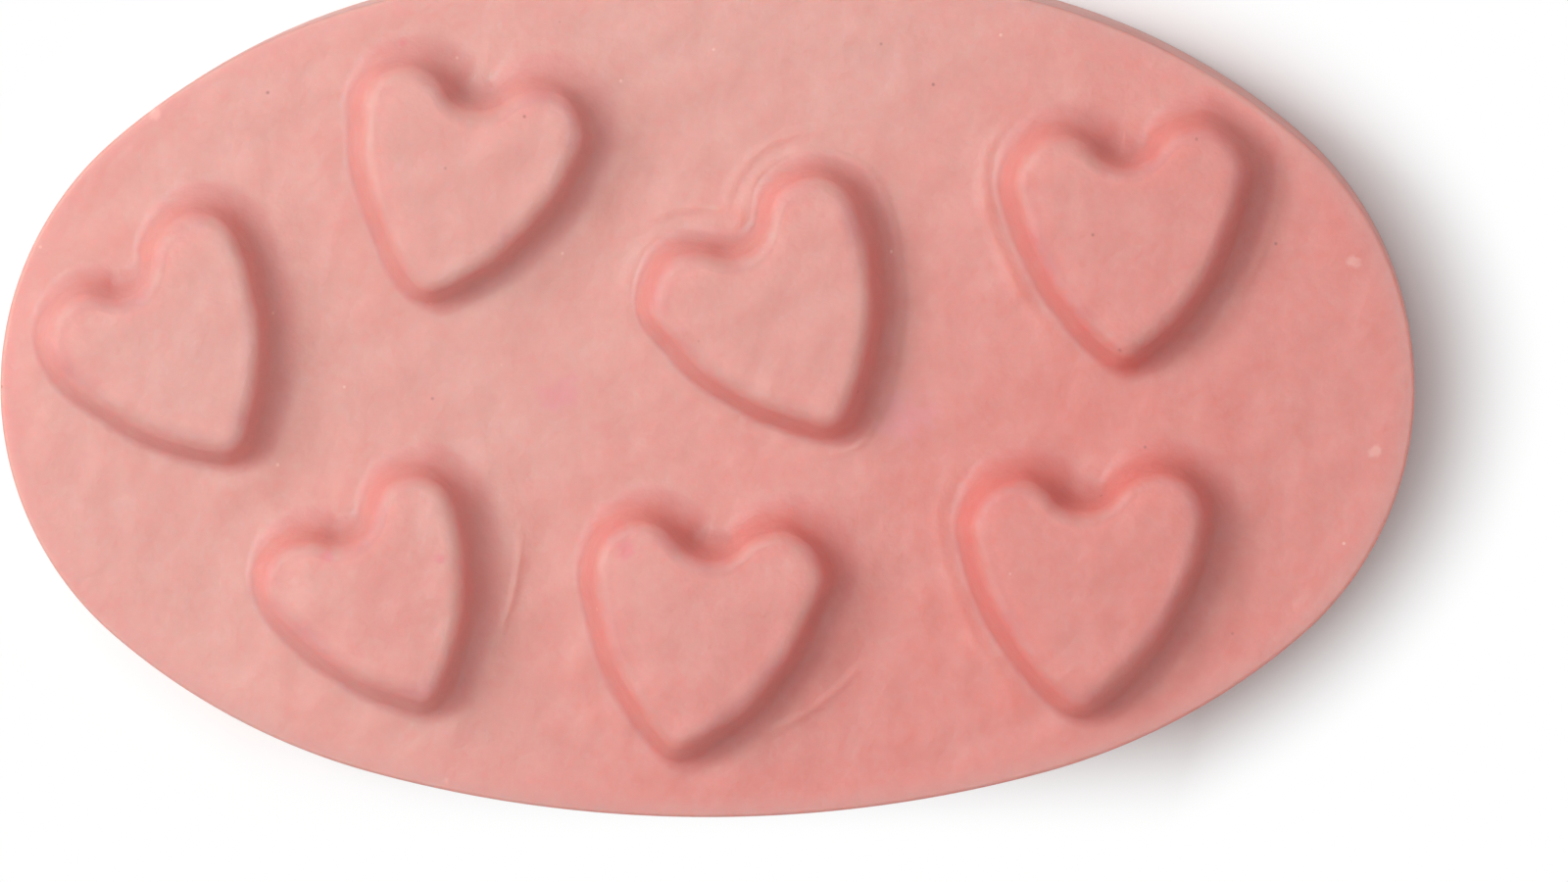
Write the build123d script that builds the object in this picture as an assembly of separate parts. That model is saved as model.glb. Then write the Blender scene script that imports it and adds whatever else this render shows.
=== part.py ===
"""Massage bar: one oval bar of skin butter, poured and set in a mould, with seven hearts raised on its face.

Millimetres, +Z up. The origin is the middle of the flat back that the bar lies on, +X runs along the
bar's length, and the face with the hearts looks up.
"""
import os
from math import hypot, radians, sqrt, tan

from build123d import *

# Bar: an oval with full shoulders, narrowing a little from its back to its face
bar_length = 100.0
bar_width = 60.8
bar_thickness = 16.8
shoulder_bulge = 0.7  # how far the four shoulders stand out past a true ellipse
wall_draft = 1.5  # degrees, so that the set bar slides out of its mould
rim_radius = 0.5
back_edge_bevel = 0.4

# Heart: outline of its flat top, drawn with the tip towards -Y
heart_span = 15.6  # across both lobes
heart_length = 15.3  # from the top of the lobes to the tip
lobe_radius = 3.0
cleft_depth = 2.4  # from the top of the lobes to the bottom of the cleft
flank_radius = 18.6  # the long arcs from the lobes to the tip
tip_radius = 1.2
tip_lean = -1.2  # the tip of the hand-drawn figure lies a little to one side

# Heart: how it stands on the face
heart_rise = 4.0
heart_draft = 18.0  # degrees
heart_edge_bevel = 0.5
heart_foot_bevel = 0.8

# Each heart's middle, as shares of the bar's half length and half width, its turn in degrees and its size
heart_places = [
    (-0.730, 0.099, 39.0, 0.98),
    (-0.349, 0.480, -9.0, 0.98),
    (0.115, 0.172, 32.5, 1.02),
    (0.597, 0.347, 4.5, 1.01),
    (-0.449, -0.487, 30.5, 0.92),
    (-0.009, -0.572, -4.0, 1.01),
    (0.537, -0.460, 3.5, 1.03),
]


def towards(start, target, distance):
    """The point that lies at a distance from start, on the way to target."""
    return start + (target - start).normalized() * distance


def flip(point, x_way, y_way):
    """The point mirrored where a way is -1."""
    return Vector(point.X * x_way, point.Y * y_way)


def arc(centre, radius, start, end):
    """The arc round centre from start to end, by the shorter way."""
    return ThreePointArc(start, towards(centre, (start + end) / 2, radius), end)


def vertex_radius(vertex, outward, centre, radius):
    """Radius of the arc that peaks at vertex and runs smoothly into the circle round centre."""
    gap = centre - vertex
    return (radius**2 - gap.dot(gap)) / (2 * (radius + gap.dot(outward)))


def make_oval():
    """The back's outline: eight tangent arcs, two ends, two sides and four shoulders."""
    half_length = bar_length / 2
    half_width = bar_width / 2
    diagonal = hypot(half_length, half_width)
    outward = Vector(half_width, half_length) / diagonal
    peak = Vector(half_length, half_width) / sqrt(2) + outward * shoulder_bulge

    shoulder_radius = diagonal**3 / (sqrt(8) * half_length * half_width)
    shoulder = peak - outward * shoulder_radius
    end_radius = vertex_radius(Vector(half_length, 0), Vector(1, 0), shoulder, shoulder_radius)
    side_radius = vertex_radius(Vector(0, half_width), Vector(0, 1), shoulder, shoulder_radius)
    end = Vector(half_length - end_radius, 0)
    side = Vector(0, half_width - side_radius)
    near_end = end + (end - shoulder) * end_radius / (shoulder_radius - end_radius)
    near_side = side + (side - shoulder) * side_radius / (shoulder_radius - side_radius)

    arcs = []
    for x_way in (1, -1):
        arcs.append(arc(flip(end, x_way, 1), end_radius, flip(near_end, x_way, -1), flip(near_end, x_way, 1)))
        for y_way in (1, -1):
            start = flip(near_end, x_way, y_way)
            stop = flip(near_side, x_way, y_way)
            arcs.append(arc(flip(shoulder, x_way, y_way), shoulder_radius, start, stop))
    for y_way in (1, -1):
        arcs.append(arc(flip(side, 1, y_way), side_radius, flip(near_side, -1, y_way), flip(near_side, 1, y_way)))
    return make_face(arcs)


def flank_centre(lobe, tip, way):
    """Centre of the long arc that rolls round a lobe and the tip from outside."""
    to_lobe = flank_radius - lobe_radius
    to_tip = flank_radius - tip_radius
    apart = (tip - lobe).length
    along = (to_lobe**2 - to_tip**2 + apart**2) / (2 * apart)
    off = sqrt(to_lobe**2 - along**2)
    step = (tip - lobe).normalized()
    return lobe + step * along + Vector(step.Y, -step.X) * off * way


def make_heart_outline(grow):
    """Two lobes, two flanks, a tip and a cleft: six tangent arcs, all moved out by grow."""
    lobe_x = heart_span / 2 - lobe_radius
    lobe_y = heart_length / 2 - lobe_radius
    cleft_radius = lobe_x**2 / (2 * cleft_depth) + cleft_depth / 2 - lobe_radius
    right_lobe = Vector(lobe_x, lobe_y)
    left_lobe = Vector(-lobe_x, lobe_y)
    tip = Vector(tip_lean, tip_radius - heart_length / 2)
    cleft = Vector(0, heart_length / 2 - cleft_depth + cleft_radius)
    right_flank = flank_centre(right_lobe, tip, 1)
    left_flank = flank_centre(left_lobe, tip, -1)

    lobe_curve = lobe_radius + grow
    flank_curve = flank_radius + grow
    tip_curve = tip_radius + grow
    cleft_curve = cleft_radius - grow
    tip_right = towards(right_flank, tip, flank_curve)
    lobe_right = towards(right_flank, right_lobe, flank_curve)
    cleft_right = towards(cleft, right_lobe, cleft_curve)
    cleft_left = towards(cleft, left_lobe, cleft_curve)
    lobe_left = towards(left_flank, left_lobe, flank_curve)
    tip_left = towards(left_flank, tip, flank_curve)
    return make_face(
        [
            arc(right_flank, flank_curve, tip_right, lobe_right),
            arc(right_lobe, lobe_curve, lobe_right, cleft_right),
            arc(cleft, cleft_curve, cleft_right, cleft_left),
            arc(left_lobe, lobe_curve, cleft_left, lobe_left),
            arc(left_flank, flank_curve, lobe_left, tip_left),
            arc(tip, tip_curve, tip_left, tip_right),
        ]
    )


def make_bar():
    """The plain bar: back and face joined by a drafted wall, with a rounded rim and a bevelled back edge."""
    bar = extrude(make_oval(), bar_thickness, taper=wall_draft)
    bar = fillet(bar.edges().group_by(Axis.Z)[-1], rim_radius)
    return chamfer(bar.edges().group_by(Axis.Z)[0], back_edge_bevel)


def make_heart(size):
    """One heart standing on the XY plane, wider at its foot, with a softened edge round its flat top."""
    foot_grow = heart_rise * tan(radians(heart_draft))
    foot = scale(make_heart_outline(foot_grow), size)
    heart = extrude(foot, heart_rise, taper=heart_draft)
    return chamfer(heart.edges().group_by(Axis.Z)[-1], heart_edge_bevel)


def make_massage_bar():
    """The bar with its hearts, each flared a little at its foot where it grows out of the face."""
    massage_bar = make_bar()
    for share_x, share_y, turn, size in heart_places:
        middle = Pos(share_x * bar_length / 2, share_y * bar_width / 2, bar_thickness)
        massage_bar += middle * Rot(0, 0, turn) * make_heart(size)
    lowest = bar_thickness - rim_radius
    highest = bar_thickness + rim_radius
    face = massage_bar.faces().filter_by_position(Axis.Z, lowest, highest).sort_by(SortBy.AREA)[-1]
    feet = [edge for wire in face.inner_wires() for edge in wire.edges()]
    return chamfer(feet, heart_foot_bevel)


os.makedirs("parts", exist_ok=True)
export_step(make_massage_bar(), "parts/massage_bar.step")
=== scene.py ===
"""Massage bar of set skin butter: one poured piece, its studio and its camera.

The bar lies on its flat back. In the part's frame the origin is the middle of that back, +X runs along the
bar, +Y points up in the photograph and +Z looks out of the face with the hearts. Sizes are millimetres and
angles are degrees in the classes. Meshes, lights and the camera are written in metres.
"""

import logging
from dataclasses import dataclass
from enum import Enum
from math import cos, hypot, pi, radians, sin, sqrt, tan
from typing import Any

import bpy
import numpy as np
from mathutils import Matrix, Vector
from mathutils.geometry import delaunay_2d_cdt


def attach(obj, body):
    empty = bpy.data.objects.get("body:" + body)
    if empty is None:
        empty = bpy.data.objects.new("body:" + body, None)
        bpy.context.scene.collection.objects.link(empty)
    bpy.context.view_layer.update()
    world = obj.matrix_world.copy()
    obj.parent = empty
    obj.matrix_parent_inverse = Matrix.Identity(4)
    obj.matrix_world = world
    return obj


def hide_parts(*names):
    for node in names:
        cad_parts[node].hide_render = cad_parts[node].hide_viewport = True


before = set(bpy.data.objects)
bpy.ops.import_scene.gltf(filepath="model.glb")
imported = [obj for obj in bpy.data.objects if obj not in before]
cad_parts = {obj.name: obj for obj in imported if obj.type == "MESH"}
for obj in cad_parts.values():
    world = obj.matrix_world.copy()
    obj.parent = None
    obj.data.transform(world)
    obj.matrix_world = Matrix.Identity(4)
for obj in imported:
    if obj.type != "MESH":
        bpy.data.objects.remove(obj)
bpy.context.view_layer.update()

MM = 0.001
# Mesh attributes: worn edges that also carry painted shade, painted shade on the flanks, painted shade along
# the rim
WORN_AND_SHADED_EDGE = "worn_and_shaded_edge"
SHADED_FLANK = "painted_flank_shade"
SHADED_RIM = "painted_rim_shade"
ARC_STEP = 6.0
ROOM_TRIES = 41
ROOM_SLACK = 0.05
WHITE = (1.0, 1.0, 1.0, 1.0)

Array = np.ndarray
Colour = tuple[float, float, float, float]
Socket = bpy.types.NodeSocket
Tree = bpy.types.NodeTree
Paint = Socket | Colour
Range = tuple[float, float]

log = logging.getLogger("massage_bar")


class Hand(Enum):
    """Which half of a heart, seen with its tip down."""

    LEFT = -1.0
    RIGHT = 1.0


class Ramp(Enum):
    """How a value runs from one end of a range to the other."""

    STRAIGHT = "LINEAR"
    SMOOTH = "SMOOTHSTEP"


class Blend(Enum):
    """How one colour comes over another."""

    LAY = "MIX"
    STAIN = "MULTIPLY"


def linear(hex_colour: str) -> Colour:
    """Turn an sRGB hex colour into the linear values that shaders use.

    Args:
        hex_colour: six hex digits after a hash sign.

    Returns:
        Linear red, green and blue, and an alpha of one.
    """
    srgb = np.array([int(hex_colour[i : i + 2], 16) for i in (1, 3, 5)]) / 255
    values = np.where(srgb <= 0.04045, srgb / 12.92, ((srgb + 0.055) / 1.055) ** 2.4)
    return (*values.tolist(), 1.0)


def per_metre(size: float) -> float:
    """Texture scale whose features are about size millimetres across."""
    return 1.0 / (size * MM)


def start_tree(owner: bpy.types.Material | bpy.types.World) -> Tree:
    """Give a material or a world an empty node tree."""
    owner.use_nodes = True
    owner.node_tree.nodes.clear()
    return owner.node_tree


def add_node(tree: Tree, kind: str, inputs: dict[str | int, Any], **settings: Any) -> bpy.types.Node:
    """Add one shader node, with its settings, and fill or link its inputs.

    Args:
        tree: takes the node.
        kind: Blender's name for the kind of node, without its common first part.
        inputs: by name or number, the socket that feeds an input or its plain value.
        **settings: the node's own properties.

    Returns:
        The new node.
    """
    node = tree.nodes.new("ShaderNode" + kind)
    for name, value in settings.items():
        setattr(node, name, value)
    for name, value in inputs.items():
        if isinstance(value, Socket):
            tree.links.new(value, node.inputs[name])
        else:
            node.inputs[name].default_value = value
    return node


def calculate(tree: Tree, operation: str, *values: Any, kind: str = "Math") -> Socket:
    """Add one step of arithmetic on numbers, or on vectors with kind VectorMath, and give its value."""
    return add_node(tree, kind, dict(enumerate(values)), operation=operation).outputs["Value"]


def add_ramp(
    tree: Tree, value: Socket, ends: Range, results: Range, ramp: Ramp, unit: float = 1.0
) -> Socket:
    """Add a ramp that takes a value from one range to another and stays level outside it.

    Args:
        tree: takes the node.
        value: what to turn into a result.
        ends: the values at which the ramp starts and ends.
        results: what it gives at those two.
        ramp: how it runs between them.
        unit: what the ends are counted in.

    Returns:
        The result.
    """
    inputs = {"Value": value, "From Min": ends[0] * unit, "From Max": ends[1] * unit}
    inputs |= {"To Min": results[0], "To Max": results[1]}
    return add_node(tree, "MapRange", inputs, interpolation_type=ramp.value).outputs["Result"]


def mix_colours(
    tree: Tree, share: Socket, under: Paint, over: Paint, blend: Blend = Blend.LAY, clamp: bool = True
) -> Socket:
    """Bring one colour over another by a share.

    Args:
        tree: takes the node.
        share: how much of the upper colour there is.
        under: the lower colour.
        over: the upper colour.
        blend: whether the upper colour covers the lower one or stains it.
        clamp: whether the share stays within 0 and 1.

    Returns:
        The colour.
    """
    inputs = {"Factor": share, 6: under, 7: over}
    settings = {"data_type": "RGBA", "blend_type": blend.value, "clamp_factor": clamp}
    return add_node(tree, "Mix", inputs, **settings).outputs[2]


def add_object(name: str, data: bpy.types.ID) -> bpy.types.Object:
    """Make an object of a mesh, a light or a camera at the origin and link it to the scene."""
    made = bpy.data.objects.new(name, data)
    bpy.context.scene.collection.objects.link(made)
    return made


@dataclass(frozen=True)
class Outline:
    """A closed line of points, anticlockwise, with the outward normal at each of them."""

    points: Array
    normals: Array

    def placed(self, middle: Array, turn: float, size: float) -> "Outline":
        """The outline scaled, turned and moved to a middle point.

        Args:
            middle: where the outline's own origin goes.
            turn: angle in degrees, anticlockwise.
            size: scale of the points.

        Returns:
            The moved outline, with unit normals.
        """
        angle = radians(turn)
        spin = np.array([[cos(angle), sin(angle)], [-sin(angle), cos(angle)]])
        return Outline(self.points @ spin * size + middle, self.normals @ spin)

    def distance(self, places: Array) -> Array:
        """Distance from each place to the nearest point of the outline."""
        gaps = places[:, None, :] - self.points[None, :, :]
        return np.sqrt((gaps**2).sum(axis=2).min(axis=1))

    def room(self, most: float) -> Array:
        """How far each point can move out before another part of the outline is nearer to it.

        Args:
            most: the largest distance to try.

        Returns:
            That distance for each point.
        """
        tries = np.linspace(0.0, most, ROOM_TRIES)[:, None]
        moved = self.points[None] + self.normals[None] * tries[..., None]
        nearest = self.distance(moved.reshape(-1, 2)).reshape(moved.shape[:2])
        return np.where(nearest > tries - ROOM_SLACK, tries, 0.0).max(axis=0)

    def holds(self, places: Array) -> Array:
        """Whether each place is inside, by counting the edges that a ray to +X crosses.

        Args:
            places: points to test, one a row.

        Returns:
            True for the places inside.
        """
        x, y = places[:, :1], places[:, 1:]
        start, end = self.points, np.roll(self.points, -1, axis=0)
        spans = (start[:, 1] > y) != (end[:, 1] > y)
        rise = np.where(end[:, 1] == start[:, 1], 1.0, end[:, 1] - start[:, 1])
        crossing = start[:, 0] + (y - start[:, 1]) / rise * (end[:, 0] - start[:, 0])
        return (spans & (x < crossing)).sum(axis=1) % 2 == 1


def chain_arcs(centres: Array, joints: Array, spacing: float) -> Outline:
    """Sample a closed chain of tangent arcs, anticlockwise.

    Each arc runs from its own joint to the next one by the shorter way. A point is the centre plus the radius
    times the ray at its angle. The normal is that ray, or its opposite on an arc that bends inwards.

    Args:
        centres: centre of each arc, one a row.
        joints: where each arc starts, one a row.
        spacing: most distance between two points; a tight arc also gets a point at every arc step.

    Returns:
        The points and normals of the whole chain.
    """
    first = joints - centres
    last = np.roll(joints, -1, axis=0) - centres
    radii = np.linalg.norm(first, axis=1)
    starts = np.arctan2(first[:, 1], first[:, 0])
    sweeps = np.arctan2(last[:, 1], last[:, 0]) - starts
    sweeps = (sweeps + pi) % (2 * pi) - pi
    turns = np.abs(sweeps)
    counts = np.ceil(np.maximum(turns * radii / spacing, turns / radians(ARC_STEP))).astype(int)
    arc = np.repeat(np.arange(len(counts)), counts)
    before = np.repeat(np.cumsum(counts) - counts, counts)
    share = (np.arange(counts.sum()) - before) / counts[arc]
    angles = starts[arc] + sweeps[arc] * share
    rays = np.stack([np.cos(angles), np.sin(angles)], axis=1)
    return Outline(centres[arc] + radii[arc, None] * rays, rays * np.sign(sweeps)[arc, None])


def towards(start: Array, target: Array, distance: float) -> Array:
    """The point at a distance from start on the way to target."""
    way = target - start
    return start + way / np.linalg.norm(way) * distance


@dataclass(frozen=True)
class OvalBack:
    """The bar's outline at its back: an oval of eight tangent arcs with full shoulders."""

    length: float = 99.84
    width: float = 60.75
    shoulder_bulge: float = 0.7
    spacing: float = 0.5

    def outline(self) -> Outline:
        """Draw the oval from its end, shoulder and side arcs.

        The shoulder's peak lies on the ellipse's diagonal, moved out by the bulge. The end and side arcs peak
        at the ends of the two axes. The centre of each lies on its axis, as far from the shoulder's centre as
        the two radii differ, so that it runs smoothly into the shoulder.

        Returns:
            The oval's points and normals.
        """
        half = np.array([self.length / 2, self.width / 2])
        diagonal = hypot(*half)
        outward = half[::-1] / diagonal
        shoulder_radius = diagonal**3 / (sqrt(8.0) * half.prod())
        shoulder = half / sqrt(2.0) + outward * (self.shoulder_bulge - shoulder_radius)
        gaps = shoulder - np.diag(half)
        radii = (shoulder_radius**2 - (gaps**2).sum(axis=1)) / (2 * (shoulder_radius + np.diag(gaps)))
        end, side = np.diag(half - radii)
        near_end = towards(shoulder, end, shoulder_radius)
        near_side = towards(shoulder, side, -shoulder_radius)
        ways = np.array([[1, 1], [1, 1], [-1, 1], [-1, 1], [-1, -1], [-1, -1], [1, -1], [1, -1]])
        centres = np.array([shoulder, side, shoulder, end] * 2) * ways
        joints = np.array([near_end, near_side, near_side, near_end] * 2) * ways
        return chain_arcs(centres, joints, self.spacing)


@dataclass(frozen=True)
class HeartFigure:
    """Outline of a heart's flat top, tip towards -Y: two lobes, two flanks, a tip and a cleft."""

    span: float = 15.6
    length: float = 15.3
    lobe_radius: float = 3.0
    cleft_depth: float = 2.4
    flank_radius: float = 18.6
    tip_radius: float = 1.2
    tip_lean: float = -1.2
    spacing: float = 0.3

    def lobe(self, hand: Hand) -> Array:
        """Centre of one lobe's arc."""
        across = self.span / 2 - self.lobe_radius
        return np.array([hand.value * across, self.length / 2 - self.lobe_radius])

    def tip(self) -> Array:
        """Centre of the tip's arc."""
        return np.array([self.tip_lean, self.tip_radius - self.length / 2])

    def flank(self, hand: Hand) -> Array:
        """Centre of the long arc that rolls round a lobe and the tip from outside.

        It lies where two circles meet, one round the lobe and one round the tip, each with the difference of
        the two radii.

        Args:
            hand: which flank.

        Returns:
            The arc's centre, on the other side of the heart.
        """
        to_lobe = self.flank_radius - self.lobe_radius
        to_tip = self.flank_radius - self.tip_radius
        way = self.tip() - self.lobe(hand)
        apart = np.linalg.norm(way)
        along = (to_lobe**2 - to_tip**2 + apart**2) / (2 * apart)
        off = sqrt(to_lobe**2 - along**2) * hand.value
        step = way / apart
        return self.lobe(hand) + step * along + np.array([step[1], -step[0]]) * off

    def outline(self) -> Outline:
        """Chain the six arcs, starting on the right flank at the tip.

        Returns:
            The heart's points and normals.
        """
        left, right = self.lobe(Hand.LEFT), self.lobe(Hand.RIGHT)
        left_flank, right_flank = self.flank(Hand.LEFT), self.flank(Hand.RIGHT)
        cleft_radius = right[0] ** 2 / (2 * self.cleft_depth) + self.cleft_depth / 2 - self.lobe_radius
        cleft = np.array([0.0, self.length / 2 - self.cleft_depth + cleft_radius])
        tip, reach = self.tip(), self.flank_radius
        centres = np.array([right_flank, right, cleft, left, left_flank, tip])
        starts = (
            (right_flank, tip, reach),
            (right_flank, right, reach),
            (cleft, right, cleft_radius),
            (cleft, left, cleft_radius),
            (left_flank, left, reach),
            (left_flank, tip, reach),
        )
        joints = np.array([towards(*start) for start in starts])
        return chain_arcs(centres, joints, self.spacing)


@dataclass(frozen=True)
class HeartSection:
    """Section through a heart's edge: top, rounded edge, drafted flank and the fillet at its foot."""

    rise: float = 3.9
    draft: float = 18.0
    edge_radius: float = 1.1
    least_run: float = 0.05
    arc_points: int = 12
    flank_points: int = 6

    def slope(self) -> float:
        """Angle between the flank and the face, in radians."""
        return radians(90.0 - self.draft)

    def foot_end(self, foot_radius: Array) -> Array:
        """How far from the sharp top edge a foot with this radius runs out into the face."""
        return self.rise / tan(self.slope()) + foot_radius * tan(self.slope() / 2)

    def foot_fitting(self, room: Array) -> Array:
        """The foot radius that runs out into the face within this distance from the sharp top edge."""
        return np.maximum(room - self.rise / tan(self.slope()), self.least_run) / tan(self.slope() / 2)

    def profile(self, foot_radius: Array) -> tuple[Array, Array]:
        """Work the section out as one line for each foot radius.

        The flank is straight, and starts at the sharp top edge, at offset 0. An arc rounds the top edge and
        an arc fills the foot, each running smoothly into the flank.

        Args:
            foot_radius: radius of the fillet at the foot, for each place along the outline.

        Returns:
            Offset from the sharp top edge and height over the face, from the top to the face, one column
            for each place.
        """
        slope = self.slope()
        swing = np.linspace(0.0, slope, self.arc_points)[:, None]
        shape = (self.arc_points, foot_radius.size)
        edge_x = np.broadcast_to(self.edge_radius * (np.sin(swing) - tan(slope / 2)), shape)
        edge_z = np.broadcast_to(self.rise - self.edge_radius * (1.0 - np.cos(swing)), shape)
        foot_x = self.foot_end(foot_radius) - foot_radius * np.sin(swing[::-1])
        foot_z = foot_radius * (1.0 - np.cos(swing[::-1]))
        flank_x = np.linspace(edge_x[-1], foot_x[0], self.flank_points)[1:-1]
        flank_z = np.linspace(edge_z[-1], foot_z[0], self.flank_points)[1:-1]
        return np.concatenate([edge_x, flank_x, foot_x]), np.concatenate([edge_z, flank_z, foot_z])


@dataclass(frozen=True)
class Welt:
    """A low soft ridge on the face beside a heart, left by the edge of its hollow in the mould."""

    towards: float
    spread: float
    reach: float
    height: float
    width: float
    drift: float = 0.0

    def lift(self, gap: Array, bearing: Array) -> Array:
        """Height of the ridge: a bell across it, times a flat-topped bell along the bearing.

        The ridge's distance from the heart grows by the drift for every degree of the bearing.

        Args:
            gap: distance of each place from the heart's top edge.
            bearing: direction of each place from the heart's middle.

        Returns:
            Height at each place.
        """
        turn = (bearing - self.towards + 180.0) % 360.0 - 180.0
        along = np.exp(-((turn / self.spread) ** 4))
        across = gap - self.reach - self.drift * turn
        return self.height * along * np.exp(-((across / self.width) ** 2))


@dataclass(frozen=True)
class HeartPlace:
    """Where one heart stands, as shares of the bar's half length and half width, and its form."""

    along: float
    across: float
    turn: float
    size: float
    foot_radius: float
    welts: tuple[Welt, ...] = ()


@dataclass(frozen=True)
class Dots:
    """Small soft dots scattered through the butter, of which a few reach the surface."""

    colour: str
    spacing: float
    radius: float


@dataclass(frozen=True)
class Mark:
    """A small ragged spot on the set butter: a nick, a pit or a patch of another tint."""

    place: tuple[float, float, float]
    radius: float
    colour: str
    share: float


@dataclass(frozen=True)
class SkinButter:
    """Cocoa butter and shea butter, tinted, melted, poured into a mould and left to set.

    Wax-like, so light enters it: shaded flanks glow red and edges look soft. The mould leaves a satin skin
    with a pale sheen. Painted sheen and light fall-off make the colour paler towards one end. Handled edges
    turn rosy in patches; painted shade dulls the top edges, darkens the flanks and greys the rim. The set
    blend shows clouds, grain, a few dark specks and small pale bubbles. Real grain is finer than a pixel of
    the picture, so grain, specks and bubbles are drawn coarser than they are.
    """

    # Body colour: paler at one end from painted sheen and light fall-off, a deeper tint at the other, with
    # clouds and grain
    pale: str = "#DC9D93"
    deep: str = "#D9867C"
    painted_sheen_way: tuple[float, float, float] = (0.77, -0.64, 0.0)
    painted_sheen_ends: Range = (-15.0, 28.0)
    cloud_size: float = 4.5
    cloud_detail: float = 3.0
    cloud_share: float = 0.7
    grain_size: float = 1.0
    grain_detail: float = 2.0
    grain_share: float = 0.6
    noise_rough: float = 0.55

    # Wear and painted shade: rosy patches on handled edges, painted shade on the top edges, the flanks and
    # the rim
    rosy: str = "#D97C86"
    patch_clouds: Range = (0.45, 0.65)
    patch_share: float = 0.35
    edge_shade_gain: Colour = (0.86, 0.90, 0.90, 1.0)
    flank_shade_gain: Colour = (1.01, 0.88, 0.91, 1.0)
    rim_shade_colour: str = "#CB9C96"
    rim_shade_share: float = 0.5

    # Dark specks, pale bubbles and single marks, with cores and edges as shares of their radius
    dots: tuple[Dots, ...] = (Dots("#A4625A", 5.0, 0.17), Dots("#EDBFB3", 4.0, 0.16))
    dot_core: float = 0.3
    dot_share: float = 0.75
    marks: tuple[Mark, ...] = ()
    mark_core: float = 1.2
    mark_edge: float = 2.0

    # Satin skin, and how deep red, green and blue light enter
    relief: float = 0.15
    relief_strength: float = 0.6
    roughness: float = 0.6
    roughness_spread: float = 0.05
    satin_clouds: Range = (0.3, 0.7)
    ior: float = 1.45
    shine: float = 1.0
    depth: float = 4.0
    depth_shares: tuple[float, float, float] = (1.0, 0.22, 0.15)

    def material(self) -> bpy.types.Material:
        """Build the material from object coordinates and the mesh's own shares of wear, slope and dust.

        Returns:
            The finished material.
        """
        butter = bpy.data.materials.new("set_skin_butter")
        tree = start_tree(butter)
        place = add_node(tree, "TexCoord", {}).outputs["Object"]
        cloud = self.add_noise(tree, place, self.cloud_size, self.cloud_detail)
        grain = self.add_noise(tree, place, self.grain_size, self.grain_detail)
        body = self.add_body_and_painted_sheen(tree, place, cloud, grain)
        worn_and_shaded = self.add_wear_and_painted_shade(tree, body, cloud)
        dotted = self.add_dots(tree, place, worn_and_shaded)
        marked = self.add_marks(tree, place, dotted, grain)
        bump = {"Strength": self.relief_strength, "Distance": self.relief * MM, "Height": grain}
        satin = (self.roughness - self.roughness_spread, self.roughness + self.roughness_spread)
        skin = {
            "Base Color": marked,
            "Roughness": add_ramp(tree, cloud, self.satin_clouds, satin, Ramp.STRAIGHT),
            "IOR": self.ior,
            "Specular IOR Level": self.shine,
            "Subsurface Weight": 1.0,
            "Subsurface Radius": self.depth_shares,
            "Subsurface Scale": self.depth * MM,
            "Normal": add_node(tree, "Bump", bump).outputs["Normal"],
        }
        surface = add_node(tree, "BsdfPrincipled", skin).outputs["BSDF"]
        add_node(tree, "OutputMaterial", {"Surface": surface})
        return butter

    def add_noise(self, tree: Tree, place: Socket, size: float, detail: float) -> Socket:
        """Add clouds from 0 to 1 whose blotches are about size millimetres across."""
        inputs = {"Vector": place, "Scale": per_metre(size), "Detail": detail, "Roughness": self.noise_rough}
        return add_node(tree, "TexNoise", inputs).outputs["Fac"]

    def add_body_and_painted_sheen(self, tree: Tree, place: Socket, cloud: Socket, grain: Socket) -> Socket:
        """Add the body colour: painted paler towards the lit end as painted sheen and light fall-off, broken
        up by clouds and grain.

        Args:
            tree: takes the nodes.
            place: coordinates to read.
            cloud: blotches.
            grain: fine grain.

        Returns:
            The colour.
        """
        # painted sheen and light fall-off: the colour runs paler towards the upper left, where the lights
        # hang
        along = calculate(tree, "DOT_PRODUCT", place, self.painted_sheen_way, kind="VectorMath")
        middle = (self.cloud_share + self.grain_share) / 2
        slow = add_ramp(tree, along, self.painted_sheen_ends, (-middle, 1.0 - middle), Ramp.SMOOTH, MM)
        clouded = calculate(tree, "MULTIPLY_ADD", cloud, self.cloud_share, slow)
        grained = calculate(tree, "MULTIPLY_ADD", grain, self.grain_share, clouded)
        return mix_colours(tree, grained, linear(self.pale), linear(self.deep), clamp=False)

    def add_wear_and_painted_shade(self, tree: Tree, body: Socket, cloud: Socket) -> Socket:
        """Turn the handled edges rosy in patches, and paint shade on the top edges, the flanks and the rim.

        Args:
            tree: takes the nodes.
            body: the body colour.
            cloud: blotches, which break the rosy wear up into patches.

        Returns:
            The colour.
        """
        edge, flank_shade, rim = (
            add_node(tree, "Attribute", {}, attribute_name=name).outputs["Fac"]
            for name in (WORN_AND_SHADED_EDGE, SHADED_FLANK, SHADED_RIM)
        )
        patch = add_ramp(tree, cloud, self.patch_clouds, (0.0, self.patch_share), Ramp.STRAIGHT)
        rosy_share = calculate(tree, "MULTIPLY", edge, patch)
        rosy = mix_colours(tree, rosy_share, body, linear(self.rosy))
        # painted shade: darkens the rounded top edges of the hearts and the rim's rounding
        edge_shaded = mix_colours(tree, edge, rosy, self.edge_shade_gain, Blend.STAIN)
        # painted shade: darker, slightly redder flanks
        flank_shaded = mix_colours(tree, flank_shade, edge_shaded, self.flank_shade_gain, Blend.STAIN)
        # painted shade: a darker, greyer strip along the rim
        rim_shade = calculate(tree, "MULTIPLY", rim, self.rim_shade_share)
        return mix_colours(tree, rim_shade, flank_shaded, linear(self.rim_shade_colour))

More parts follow.
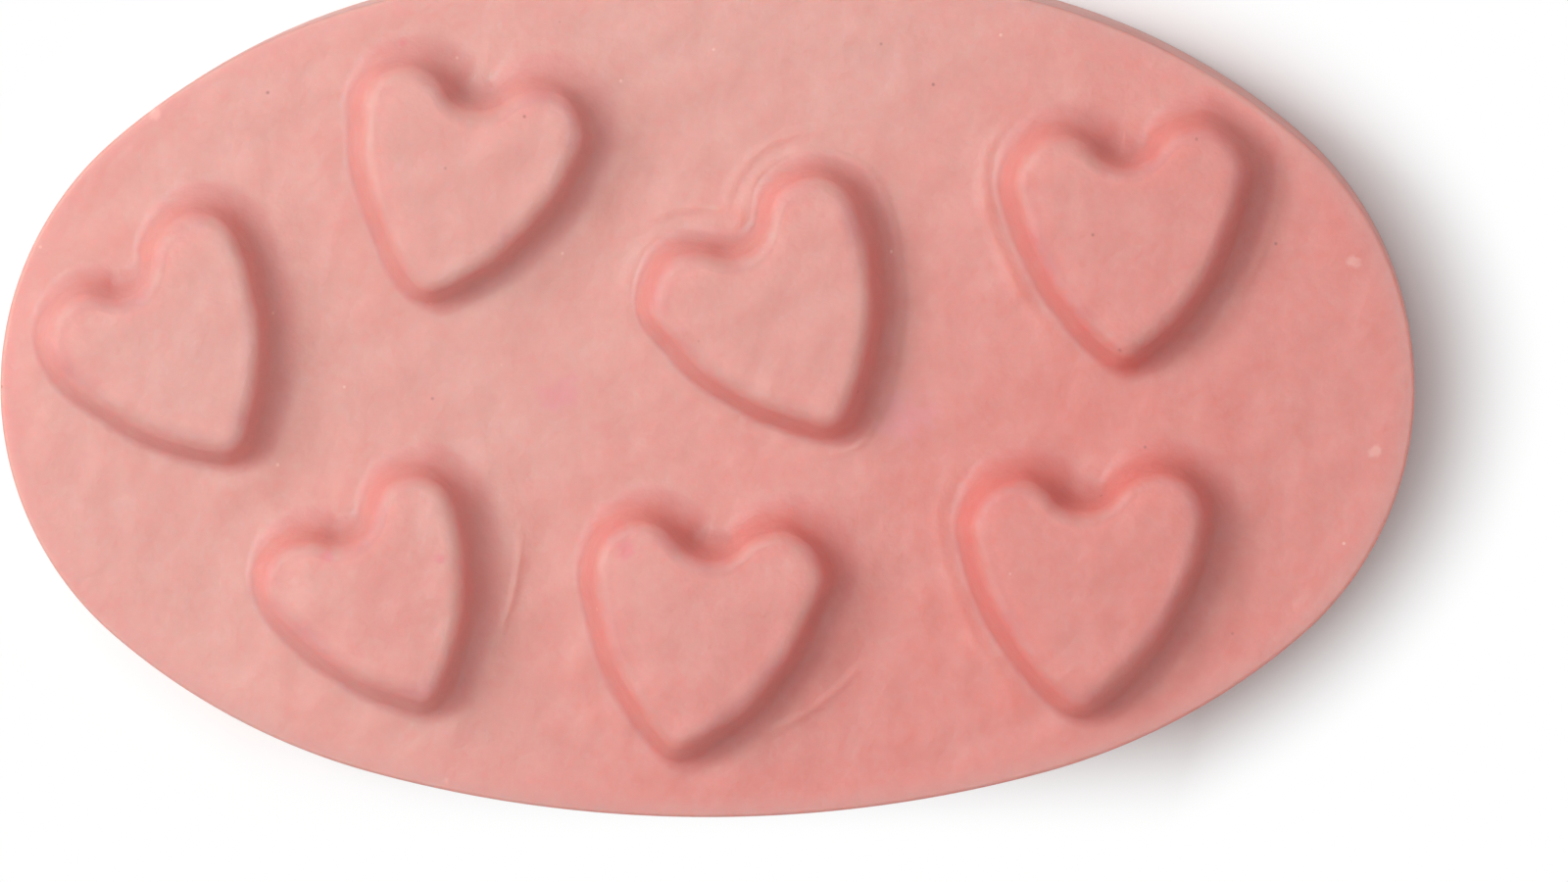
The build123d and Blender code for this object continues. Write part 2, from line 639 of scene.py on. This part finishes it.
    def add_dots(self, tree: Tree, place: Socket, under: Socket) -> Socket:
        """Scatter the specks and the bubbles through the body.

        Args:
            tree: takes the nodes.
            place: coordinates to read.
            under: colour between the dots.

        Returns:
            The colour.
        """
        for dots in self.dots:
            cells = {"Vector": place, "Scale": per_metre(dots.spacing)}
            gap = add_node(tree, "TexVoronoi", cells).outputs["Distance"]
            ends = (self.dot_core * dots.radius / dots.spacing, dots.radius / dots.spacing)
            share = add_ramp(tree, gap, ends, (self.dot_share, 0.0), Ramp.STRAIGHT)
            under = mix_colours(tree, share, under, linear(dots.colour))
        return under

    def add_marks(self, tree: Tree, place: Socket, under: Socket, grain: Socket) -> Socket:
        """Lay the single marks over the body colour, each a spot whose edge the grain makes ragged.

        Args:
            tree: takes the nodes.
            place: coordinates to read.
            under: colour below the marks.
            grain: fine grain.

        Returns:
            The colour.
        """
        for mark in self.marks:
            spot = tuple(part * MM for part in mark.place)
            gap = calculate(tree, "DISTANCE", place, spot, kind="VectorMath")
            edge = self.mark_edge * mark.radius * MM
            core = self.mark_core * mark.radius * MM
            ragged = calculate(tree, "MULTIPLY_ADD", grain, edge, gap)
            share = add_ramp(tree, ragged, (edge, core), (0.0, mark.share), Ramp.SMOOTH)
            under = mix_colours(tree, share, under, linear(mark.colour))
        return under


class PieceMesh:
    """Gathers the vertices and faces of one closed mesh, all as whole arrays."""

    def __init__(self) -> None:
        """Start with nothing."""
        self.points: list[Array] = []
        self.shares: dict[str, list[Array]] = {WORN_AND_SHADED_EDGE: [], SHADED_FLANK: [], SHADED_RIM: []}
        self.quads: list[Array] = []
        self.triangles: list[Array] = []
        self.count = 0

    def add_points(self, points: Array, shares: dict[str, Array]) -> Array:
        """Add points in millimetres and number them.

        Args:
            points: an array whose last axis is x, y, z.
            shares: by attribute, how much of it each point has, from 0 to 1.

        Returns:
            The points' numbers, in the shape of the array without its last axis.
        """
        shape = points.shape[:-1]
        numbers = np.arange(self.count, self.count + points[..., 0].size).reshape(shape)
        self.points.append(points.reshape(-1, 3))
        for name, kept in self.shares.items():
            kept.append(np.broadcast_to(shares.get(name, 0.0), shape).ravel())
        self.count += numbers.size
        return numbers

    def add_rings(self, rings: Array) -> None:
        """Join each ring of numbers to the next one with quads that face left of the way between them.

        Args:
            rings: the points' numbers, one ring a row.
        """
        near, far = rings[:-1], rings[1:]
        quads = np.stack([near, far, np.roll(far, -1, axis=1), np.roll(near, -1, axis=1)], axis=2)
        self.quads.append(quads.reshape(-1, 4))

    def add_fan(self, hub: int, ring: Array) -> None:
        """Close a ring of numbers with triangles to a hub."""
        self.triangles.append(np.stack([np.full(ring.size, hub), ring, np.roll(ring, -1)], axis=1))

    def make_object(self, name: str, material: bpy.types.Material) -> bpy.types.Object:
        """Write the mesh, in metres, smooth shaded, as an object at the origin.

        Args:
            name: the object's name.
            material: what it is made of.

        Returns:
            The new object, linked to the scene.
        """
        mesh = bpy.data.meshes.new(name)
        points = np.concatenate(self.points) * MM
        faces = np.concatenate(self.quads).tolist() + np.concatenate(self.triangles).tolist()
        mesh.from_pydata(points.tolist(), [], faces)
        mesh.polygons.foreach_set("use_smooth", np.ones(len(faces), dtype=bool))
        for attribute, shares in self.shares.items():
            kept = mesh.attributes.new(attribute, "FLOAT", "POINT")
            kept.data.foreach_set("value", np.concatenate(shares).astype(np.float32))
        mesh.materials.append(material)
        mesh.update()
        return add_object(name, mesh)


@dataclass(frozen=True)
class Ripple:
    """Unevenness of the set butter: straight waves of one slope that run every way."""

    count: int
    shortest: float
    longest: float
    slope: float

    def lift(self, places: Array, chance: np.random.Generator) -> Array:
        """Add up sine waves whose ways, lengths and phases are drawn by chance.

        Args:
            places: points on the face, one a row.
            chance: seeded source of the draws.

        Returns:
            What to add at each place.
        """
        way = chance.uniform(0.0, 2 * pi, self.count)
        length = chance.uniform(self.shortest, self.longest, self.count)
        phase = chance.uniform(0.0, 2 * pi, self.count)
        along = places @ np.stack([np.cos(way), np.sin(way)])
        waves = np.sin(along * 2 * pi / length + phase) * length / (2 * pi) * self.slope
        return waves.sum(axis=1)


@dataclass(frozen=True)
class PouredBar:
    """The bar: an oval body with a rounded rim, and seven hearts that grow out of its face."""

    back: OvalBack = OvalBack()
    heart: HeartFigure = HeartFigure()
    section: HeartSection = HeartSection()
    places: tuple[HeartPlace, ...] = ()
    finish: SkinButter = SkinButter()

    # Body, from the face to the back
    thickness: float = 16.7
    rim_radius: float = 0.3
    wall_draft: float = 0.5
    back_edge_radius: float = 0.9
    rim_points: int = 10
    wall_points: int = 12
    back_edge_points: int = 8
    back_rings: int = 14
    # reach of the painted rim shade onto the face
    rim_shade_reach: float = 0.9

    # Hearts: the side where their feet swell, by a share, and the room that feet keep
    soft_side: float = 30.0
    foot_swing: float = 0.65
    rim_room: float = 0.25
    cleft_room: float = 0.3
    top_rings: int = 12

    # Hearts: the worn edge with its painted shade, and the share of the rise in which the flanks' painted
    # shade fades at the foot
    wear_inset: float = 0.4
    wear_width: float = 0.55
    foot_fade: float = 0.08

    # Face: collars round the hearts, then an even net that keeps a share of its step from the rim
    collar_count: int = 10
    collar_reach: float = 4.8
    collar_slack: float = 0.02
    collar_rim_gap: float = 0.2
    face_step: float = 0.6
    face_rim_gap: float = 0.7
    net_tolerance: float = 1e-7

    # Unevenness of the face and of the hearts' lines
    waves: tuple[Ripple, ...] = (Ripple(12, 6.0, 28.0, 0.006), Ripple(24, 1.8, 5.0, 0.015))
    waver: Ripple = Ripple(16, 2.5, 7.0, 0.022)
    calm_rim: float = 2.5
    seed: int = 5

    def build(self) -> bpy.types.Object:
        """Make the closed mesh, dress it and tie it to its place in the frame.

        Returns:
            The finished piece.
        """
        mesh = PieceMesh()
        rim = self.add_body(mesh)
        feet = [self.add_heart(mesh, *heart) for heart in zip(self.heart_outlines(), self.places)]
        self.add_face(mesh, rim, feet)
        piece = mesh.make_object("poured_bar", self.finish.material())
        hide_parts("massage_bar")
        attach(piece, "root")
        return piece

    def heart_outlines(self) -> list[Outline]:
        """The sharp top edge of each heart, in its place on the face."""
        half = np.array([self.back.length / 2, self.back.width / 2])
        figure = self.heart.outline()
        return [
            figure.placed(half * (place.along, place.across), place.turn, place.size) for place in self.places
        ]

    def face_edge(self) -> float:
        """How far inside the back's outline the flat face ends and the rim begins to round."""
        lean = radians(self.wall_draft)
        return self.thickness * tan(lean) + self.rim_radius * tan((pi / 2 - lean) / 2)

    def from_rim(self, places: Array) -> Array:
        """Distance from each place on the face to the face's edge."""
        return self.back.outline().distance(places) - self.face_edge()

    def body_profile(self) -> Array:
        """Section of the rim, the wall and the back edge.

        The rim and the back edge are arcs that run smoothly into the drafted wall between them.

        Returns:
            Offset from the back's outline and height, one point a row, from the face to the back.
        """
        lean = radians(self.wall_draft)
        swing = np.linspace(0.0, pi / 2 - lean, self.rim_points)
        rim_x = -self.face_edge() + self.rim_radius * np.sin(swing)
        rim_z = self.thickness - self.rim_radius * (1.0 - np.cos(swing))
        turn = np.linspace(pi / 2 - lean, pi, self.back_edge_points)
        inset = self.back_edge_radius / tan((pi / 2 - lean) / 2)
        edge_x = -inset + self.back_edge_radius * np.sin(turn)
        edge_z = self.back_edge_radius * (1.0 + np.cos(turn))
        wall_x = np.linspace(rim_x[-1], edge_x[0], self.wall_points)[1:-1]
        wall_z = np.linspace(rim_z[-1], edge_z[0], self.wall_points)[1:-1]
        across = np.concatenate([rim_x, wall_x, edge_x])
        return np.stack([across, np.concatenate([rim_z, wall_z, edge_z])], axis=1)

    def add_body(self, mesh: PieceMesh) -> Array:
        """Carry the body's section round the oval and close the back with rings that shrink to its middle.

        Args:
            mesh: takes the rings.

        Returns:
            Numbers of the points on the face's edge.
        """
        oval = self.back.outline()
        profile = self.body_profile()
        plan = oval.points[None] + oval.normals[None] * profile[:, None, :1]
        height = np.broadcast_to(profile[:, None, 1:], plan.shape[:2] + (1,))
        wall = np.concatenate([plan, height], axis=2)
        shrink = np.linspace(1.0, 0.0, self.back_rings)[1:-1]
        back = wall[-1][None] * np.array([1.0, 1.0, 0.0]) * shrink[:, None, None]
        drop = np.concatenate([profile[:, 1], np.full(len(back), -np.inf)]) - self.thickness
        # rosy wear and painted shade on the rim's rounding, and painted shade along the rim
        worn_and_shaded = np.exp(-(((drop + self.rim_radius) / self.rim_radius) ** 2))
        rim_shade = np.exp(-((drop / self.rim_shade_reach) ** 2))
        shares = {WORN_AND_SHADED_EDGE: worn_and_shaded[:, None], SHADED_RIM: rim_shade[:, None]}
        rings = mesh.add_points(np.concatenate([wall, back]), shares)
        hub = mesh.add_points(np.zeros((1, 3)), {})
        mesh.add_rings(rings)
        mesh.add_fan(int(hub[0]), rings[-1][::-1])
        return rings[0]

    def foot_radii(self, outline: Outline, place: HeartPlace) -> Array:
        """Radius of a heart's foot at each point of its outline.

        The mean radius, plus a share that swings with the cosine of the way that the flank faces, and less
        where the rim or the other side of the cleft is near.

        Args:
            outline: the heart's sharp top edge.
            place: the heart's form.

        Returns:
            The radius at each point.
        """
        facing = np.arctan2(outline.normals[:, 1], outline.normals[:, 0]) - radians(self.soft_side)
        reach = self.section.foot_end(place.foot_radius * (1.0 + self.foot_swing * np.cos(facing)))
        to_rim = self.from_rim(outline.points) - self.rim_room
        to_itself = outline.room(self.collar_reach) - self.cleft_room
        return self.section.foot_fitting(np.minimum(reach, np.minimum(to_rim, to_itself)))

    def add_heart(self, mesh: PieceMesh, outline: Outline, place: HeartPlace) -> Array:
        """Carry the heart's section round its outline and close the top with rings that shrink to its middle.

        Wear and painted shade are a bell across the top edge. The flank's painted shade is full, less the
        fourth power of the way from half the rise to the top, and less that of the way down through the last
        bit of the foot.

        Args:
            mesh: takes the rings.
            outline: the heart's sharp top edge.
            place: the heart's form.

        Returns:
            Numbers of the points round the heart's foot.
        """
        across, height = self.section.profile(self.foot_radii(outline, place))
        sides = outline.points[None] + outline.normals[None] * across[..., None]
        middle = outline.points.mean(axis=0)
        grow = np.linspace(0.0, 1.0, self.top_rings)[1:-1]
        top = middle + (sides[0] - middle) * grow[:, None, None]
        plan = np.concatenate([top, sides])
        height = np.concatenate([np.full(top.shape[:2], self.section.rise), height])
        worn_and_shaded = np.exp(-(((across + self.wear_inset) / self.wear_width) ** 2))
        worn_and_shaded = np.concatenate([np.zeros(top.shape[:2]), worn_and_shaded])
        # painted shade on the flanks, fading out at the top edge and at the foot
        share = height / self.section.rise
        upper = 1.0 - np.clip(2.0 * share - 1.0, 0.0, 1.0) ** 4
        flank_shade = upper - np.clip(1.0 - share / self.foot_fade, 0.0, 1.0) ** 4
        shares = {WORN_AND_SHADED_EDGE: worn_and_shaded, SHADED_FLANK: flank_shade}
        rings = mesh.add_points(self.set_points(plan, height), shares)
        hub = mesh.add_points(self.set_points(middle[None], np.array([self.section.rise])), {})
        mesh.add_rings(rings)
        mesh.add_fan(int(hub[0]), rings[0])
        return rings[-1]

    def set_points(self, plan: Array, height: Array) -> Array:
        """Put a heart's points on the uneven face, along wavering lines.

        Args:
            plan: even places, with x and y on the last axis.
            height: heights over the face.

        Returns:
            The points, with x, y and z on the last axis.
        """
        places = plan.reshape(-1, 2)
        level = self.thickness + height + self.lift(places).reshape(height.shape)
        swayed = plan + self.sway(places).reshape(plan.shape)
        return np.concatenate([swayed, level[..., None]], axis=-1)

    def sway(self, places: Array) -> Array:
        """Step sideways that lets the hearts' lines waver: one sum of slow waves for each direction."""
        chance = np.random.default_rng(self.seed + 1)
        return np.stack([self.waver.lift(places, chance) for _ in range(2)], axis=1)

    def lift(self, places: Array) -> Array:
        """How far the set butter stands off the flat face: slow waves and welts, none at the rim.

        Towards the rim they die out by 3t^2 - 2t^3, where t is the share of the calm way from it.

        Args:
            places: points on the face, one a row.

        Returns:
            Height to add at each place.
        """
        chance = np.random.default_rng(self.seed)
        lift = sum(wave.lift(places, chance) for wave in self.waves)
        for place, outline in zip(self.places, self.heart_outlines()):
            gap = np.where(outline.holds(places), -1.0, 1.0) * outline.distance(places)
            rays = places - outline.points.mean(axis=0)
            bearing = np.degrees(np.arctan2(rays[:, 1], rays[:, 0]))
            for welt in place.welts:
                lift = lift + welt.lift(gap, bearing)
        share = np.clip(self.from_rim(places) / self.calm_rim, 0.0, 1.0)
        return lift * (share * share * (3.0 - 2.0 * share))

    def face_places(self, rim: Array) -> Array:
        """Points to fill the face with: close collars round the hearts and a wider net between them.

        Args:
            rim: points of the face's edge.

        Returns:
            The points, one a row.
        """
        hearts = self.heart_outlines()
        edge = Outline(rim, np.zeros_like(rim))
        kept = []
        for outline, place in zip(hearts, self.places):
            foot = self.section.foot_end(self.foot_radii(outline, place))
            share = np.linspace(0.0, 1.0, self.collar_count + 1)[1:, None]
            reaches = foot + (self.collar_reach - foot) * share
            collar = (outline.points[None] + outline.normals[None] * reaches[..., None]).reshape(-1, 2)
            nearest = np.min([heart.distance(collar) for heart in hearts], axis=0)
            clear = (nearest > reaches.ravel() - self.collar_slack) & edge.holds(collar)
            kept.append(collar[clear & (edge.distance(collar) > self.collar_rim_gap)])
        columns = np.arange(-self.back.length / 2, self.back.length / 2, self.face_step)
        rows = np.arange(-self.back.width / 2, self.back.width / 2, self.face_step * sqrt(0.75))
        net = np.stack(np.meshgrid(columns, rows), axis=2)
        net[1::2, :, 0] += self.face_step / 2
        net = net.reshape(-1, 2)
        net = net[edge.holds(net)]
        nearest = np.min([heart.distance(net) for heart in hearts], axis=0)
        outside = ~np.any([heart.holds(net) for heart in hearts], axis=0)
        from_rim = edge.distance(net)
        clear = (nearest > self.collar_reach) & outside & (from_rim > self.face_step * self.face_rim_gap)
        return np.concatenate([*kept, net[clear]])

    def add_face(self, mesh: PieceMesh, rim: Array, feet: list[Array]) -> None:
        """Fill the face between the rim and the hearts' feet with a constrained net of triangles.

        Args:
            mesh: takes the triangles.
            rim: numbers of the points on the face's edge.
            feet: numbers of the points round each heart's foot.
        """
        made = np.concatenate(mesh.points)[:, :2]
        loops = [rim, *feet]
        inner = self.face_places(made[rim])
        level = self.thickness + self.lift(inner)
        # painted shade along the rim
        rim_shade = np.exp(-((self.from_rim(inner) / self.rim_shade_reach) ** 2))
        numbers = mesh.add_points(np.concatenate([inner, level[:, None]], axis=1), {SHADED_RIM: rim_shade})
        numbers = np.concatenate([*loops, numbers])
        plan = np.concatenate([made[np.concatenate(loops)], inner])
        firsts = np.cumsum([0] + [loop.size for loop in loops])
        steps = [first + np.arange(loop.size) for first, loop in zip(firsts, loops)]
        edges = np.concatenate([np.stack([step, np.roll(step, -1)], axis=1) for step in steps])
        net = delaunay_2d_cdt(plan.tolist(), edges.tolist(), [], 0, self.net_tolerance)
        faces, origins = np.array(net[2]), np.array(net[3])
        triangles = origins[:, 0][faces]
        corners = plan[triangles]
        centres = corners.mean(axis=1)
        kept = ~np.any([Outline(made[foot], made[foot]).holds(centres) for foot in feet], axis=0)
        kept &= Outline(made[rim], made[rim]).holds(centres)
        first, second = corners[:, 1] - corners[:, 0], corners[:, 2] - corners[:, 0]
        turned = first[:, 0] * second[:, 1] < first[:, 1] * second[:, 0]
        triangles[turned] = triangles[turned][:, ::-1]
        mesh.triangles.append(numbers[triangles[kept]])


def add_seen(tree: Tree) -> Socket:
    """Add nodes that give 1 for rays that show the background: camera, glossy and transmission rays.

    Args:
        tree: takes the nodes.

    Returns:
        That value.
    """
    path = add_node(tree, "LightPath", {}).outputs
    shown = calculate(tree, "MAXIMUM", path["Is Camera Ray"], path["Is Glossy Ray"])
    return calculate(tree, "MAXIMUM", shown, path["Is Transmission Ray"])


@dataclass(frozen=True)
class WhiteCard:
    """Matt white card under the bar, burnt out to white a little way off, as in a cut-out product picture."""

    shade: str = "#F2F2F2"
    burn: Colour = (0.95, 0.98, 0.98, 1.0)
    half_length: float = 50.0
    half_width: float = 30.4
    fade: float = 9.5
    near_side: Range = (-21.5, -33.0)

    def material(self) -> bpy.types.Material:
        """Build the card: matt white that keeps the shadow, and plain white a little way from the bar.

        The way from the bar is measured along the ray from the middle: the ray's length less the part of it
        inside the oval, which is that length over the length of the ray scaled by the oval's two halves.

        Returns:
            The finished material.
        """
        card = bpy.data.materials.new("matt_white_card")
        tree = start_tree(card)
        place = add_node(tree, "TexCoord", {}).outputs["Object"]
        halves = (per_metre(self.half_length), per_metre(self.half_width), 0.0)
        scaled = add_node(tree, "VectorMath", {0: place, 1: halves}, operation="MULTIPLY").outputs["Vector"]
        share = calculate(tree, "LENGTH", scaled, kind="VectorMath")
        ray = calculate(tree, "LENGTH", place, kind="VectorMath")
        away = calculate(tree, "SUBTRACT", ray, calculate(tree, "DIVIDE", ray, share))
        fade = add_ramp(tree, away, (0.0, self.fade), (0.0, 1.0), Ramp.SMOOTH, MM)
        # painted light: towards the near side the card turns plain white over the bar's shadow, as it does a
        # little way off
        across = add_node(tree, "SeparateXYZ", {"Vector": place}).outputs["Y"]
        near = add_ramp(tree, across, self.near_side, (0.0, 1.0), Ramp.SMOOTH, MM)
        seen = add_seen(tree)
        burnt = calculate(tree, "MULTIPLY", seen, calculate(tree, "MAXIMUM", fade, near))
        colour = mix_colours(tree, seen, linear(self.shade), self.burn)
        matt = add_node(tree, "BsdfDiffuse", {"Color": colour}).outputs["BSDF"]
        white = add_node(tree, "Emission", {"Strength": 1.0}).outputs["Emission"]
        surface = add_node(tree, "MixShader", {"Fac": burnt, 1: matt, 2: white}).outputs["Shader"]
        add_node(tree, "OutputMaterial", {"Surface": surface})
        return card


@dataclass(frozen=True)
class SoftBox:
    """A soft panel that hangs over one side of the bar and is aimed at it."""

    name: str
    bearing: float
    elevation: float
    distance: float
    width: float
    length: float
    watts: float
    aim_height: float = 17.5

    def build(self) -> None:
        """Hang the light in its place and turn it to the middle of the bar's face."""
        lamp = bpy.data.lights.new(self.name, "AREA")
        lamp.shape = "RECTANGLE"
        lamp.size = self.width * MM
        lamp.size_y = self.length * MM
        lamp.energy = self.watts
        made = add_object(self.name, lamp)
        turn, height = radians(self.bearing), radians(self.elevation)
        way = Vector((cos(turn) * cos(height), sin(turn) * cos(height), sin(height)))
        made.location = (way * self.distance + Vector((0.0, 0.0, self.aim_height))) * MM
        made.rotation_euler = (-way).to_track_quat("-Z", "Y").to_euler()


@dataclass(frozen=True)
class Studio:
    """What stands round the bar: white card, soft light from the left, pale surroundings and the camera."""

    # Height of the bar's rim, and where the photograph shows the bar
    rim_height: float
    rim_span: float = 99.08
    rim_pixels: float = 1437.0
    picture: tuple[int, int] = (1600, 900)
    bar_middle: Range = (721.2, 396.5)

    # Camera
    view_height: float = 1200.0
    view_lean: float = 3.0
    view_bearing: float = 65.0
    sensor_width: float = 36.0
    view_range: Range = (10.0, 20000.0)

    # Floor and light
    card: WhiteCard = WhiteCard()
    card_size: float = 6000.0
    card_gap: float = 0.02
    key: SoftBox = SoftBox("key_softbox", 163.0, 48.5, 1200.0, 450.0, 480.0, 9.2)
    fill: SoftBox = SoftBox("overhead_softbox", 135.0, 78.0, 1000.0, 400.0, 400.0, 2.3)
    ambient: float = 0.37

    def build(self) -> None:
        """Set the floor, the world, the lights and the camera."""
        self.build_floor()
        self.build_world()
        self.key.build()
        self.fill.build()
        self.build_camera()
        bpy.context.scene.view_settings.view_transform = "Standard"

    def build_floor(self) -> None:
        """Lay the white card under the bar's back."""
        mesh = bpy.data.meshes.new("white_card")
        corners = np.array([[-1, -1], [1, -1], [1, 1], [-1, 1]]) * self.card_size / 2
        corners = np.insert(corners, 2, -self.card_gap, axis=1) * MM
        mesh.from_pydata(corners.tolist(), [], [[0, 1, 2, 3]])
        mesh.materials.append(self.card.material())
        floor = add_object("white_card", mesh)

    def build_world(self) -> None:
        """Surround the scene with soft even light that shows as white behind the bar."""
        world = bpy.data.worlds.new("pale_surroundings")
        tree = start_tree(world)
        strength = add_ramp(tree, add_seen(tree), (0.0, 1.0), (self.ambient, 1.0), Ramp.STRAIGHT)
        light = add_node(tree, "Background", {"Color": WHITE, "Strength": strength}).outputs["Background"]
        add_node(tree, "OutputWorld", {"Surface": light})
        bpy.context.scene.world = world

    def build_camera(self) -> None:
        """Look almost straight down on the face, framed so that the bar falls where the photograph has it.

        The camera leans a few degrees to one side of the point at the picture's middle, and its sideways axis
        stays along the bar.
        """
        scale = self.rim_span / self.rim_pixels
        optics = bpy.data.cameras.new("photo_camera")
        optics.sensor_width = self.sensor_width
        optics.lens = self.sensor_width * self.view_height / (scale * self.picture[0])
        optics.clip_start = self.view_range[0] * MM
        optics.clip_end = self.view_range[1] * MM
        camera = add_object("photo_camera", optics)
        across = (self.picture[0] / 2 - self.bar_middle[0]) * scale
        up = (self.bar_middle[1] - self.picture[1] / 2) * scale
        lean, turn = radians(self.view_lean), radians(self.view_bearing)
        back = Vector((sin(lean) * cos(turn), sin(lean) * sin(turn), cos(lean)))
        camera.location = (Vector((across, up, self.rim_height)) + back * self.view_height) * MM
        above = back.cross(Vector((1.0, 0.0, 0.0))).normalized()
        camera.rotation_euler = Matrix((above.cross(back), above, back)).transposed().to_euler()
        bpy.context.scene.camera = camera


# Each heart's place, turn, size and foot radius, then its welts: way, spread, reach, height, width, drift
HEART_PLACES = (
    HeartPlace(-0.734, 0.092, 37.5, 0.98, 1.6, (Welt(-12.0, 60.0, 2.4, 0.40, 1.8),)),
    HeartPlace(-0.343, 0.472, -9.0, 0.98, 1.7, (Welt(-15.0, 70.0, 2.4, 0.46, 1.8),)),
    HeartPlace(
        0.121, 0.165, 32.5, 1.02, 1.2,
        (Welt(0.0, 170.0, 2.2, 0.09, 0.25), Welt(110.0, 35.0, 3.4, 0.10, 0.25)),
    ),
    HeartPlace(
        0.603, 0.339, 4.5, 1.01, 1.6,
        (Welt(185.0, 45.0, 2.5, 0.14, 0.4), Welt(0.0, 40.0, 2.8, 0.08, 0.35)),
    ),
    HeartPlace(
        -0.443, -0.491, 30.5, 0.92, 1.6,
        (Welt(-12.0, 60.0, 2.4, 0.40, 1.8), Welt(0.0, 22.0, 3.5, 0.14, 0.25, 0.03)),
    ),
    HeartPlace(
        -0.003, -0.575, -4.0, 1.01, 1.7,
        (Welt(-15.0, 60.0, 2.4, 0.42, 1.8), Welt(-35.0, 20.0, 3.8, 0.12, 0.25, 0.05)),
    ),
    HeartPlace(
        0.543, -0.464, 3.5, 1.03, 1.6,
        (Welt(190.0, 50.0, 2.6, 0.10, 0.4), Welt(-15.0, 50.0, 2.4, 0.26, 1.5)),
    ),
)

# Pale nicks near the rim, rosy and dull patches, and two dark pits
FACE_MARKS = (
    Mark((45.5, 9.0, 16.7), 0.6, "#E8B4AC", 0.5),
    Mark((47.0, -4.5, 16.7), 0.6, "#E8B4AC", 0.5),
    Mark((-38.8, 19.2, 16.7), 0.6, "#EBBBB1", 0.5),
    Mark((-18.4, -27.6, 16.7), 0.5, "#EBBBB1", 0.5),
    Mark((-21.4, 24.2, 16.7), 0.6, "#E0687E", 0.5),
    Mark((-26.4, -11.6, 20.5), 0.6, "#DE7086", 0.5),
    Mark((-18.6, -11.8, 20.5), 0.5, "#DE7086", 0.5),
    Mark((-5.5, -11.1, 20.5), 0.9, "#DE7086", 0.4),
    Mark((-22.4, -14.8, 20.6), 7.0, "#DA877D", 0.5),
    Mark((-17.0, 14.8, 20.6), 8.0, "#DA8F84", 0.4),
    Mark((-10.3, -0.4, 16.7), 2.0, "#DF8A92", 0.5),
    Mark((14.2, -2.1, 16.7), 2.6, "#DB8A92", 0.5),
    Mark((9.7, -0.3, 16.7), 0.4, "#B05C58", 0.6),
    Mark((29.1, 2.9, 20.5), 0.3, "#9A4E4A", 0.7),
)


def main() -> None:
    """Build the bar and its studio, and log the bar's face count."""
    logging.basicConfig(level=logging.INFO, format="%(message)s")
    bar = PouredBar(places=HEART_PLACES, finish=SkinButter(marks=FACE_MARKS))
    piece = bar.build()
    log.info("%s: %d faces", piece.name, len(piece.data.polygons))
    Studio(rim_height=bar.thickness).build()
    log.info("studio: floor, world, light and camera")


if __name__ == "__main__":
    main()
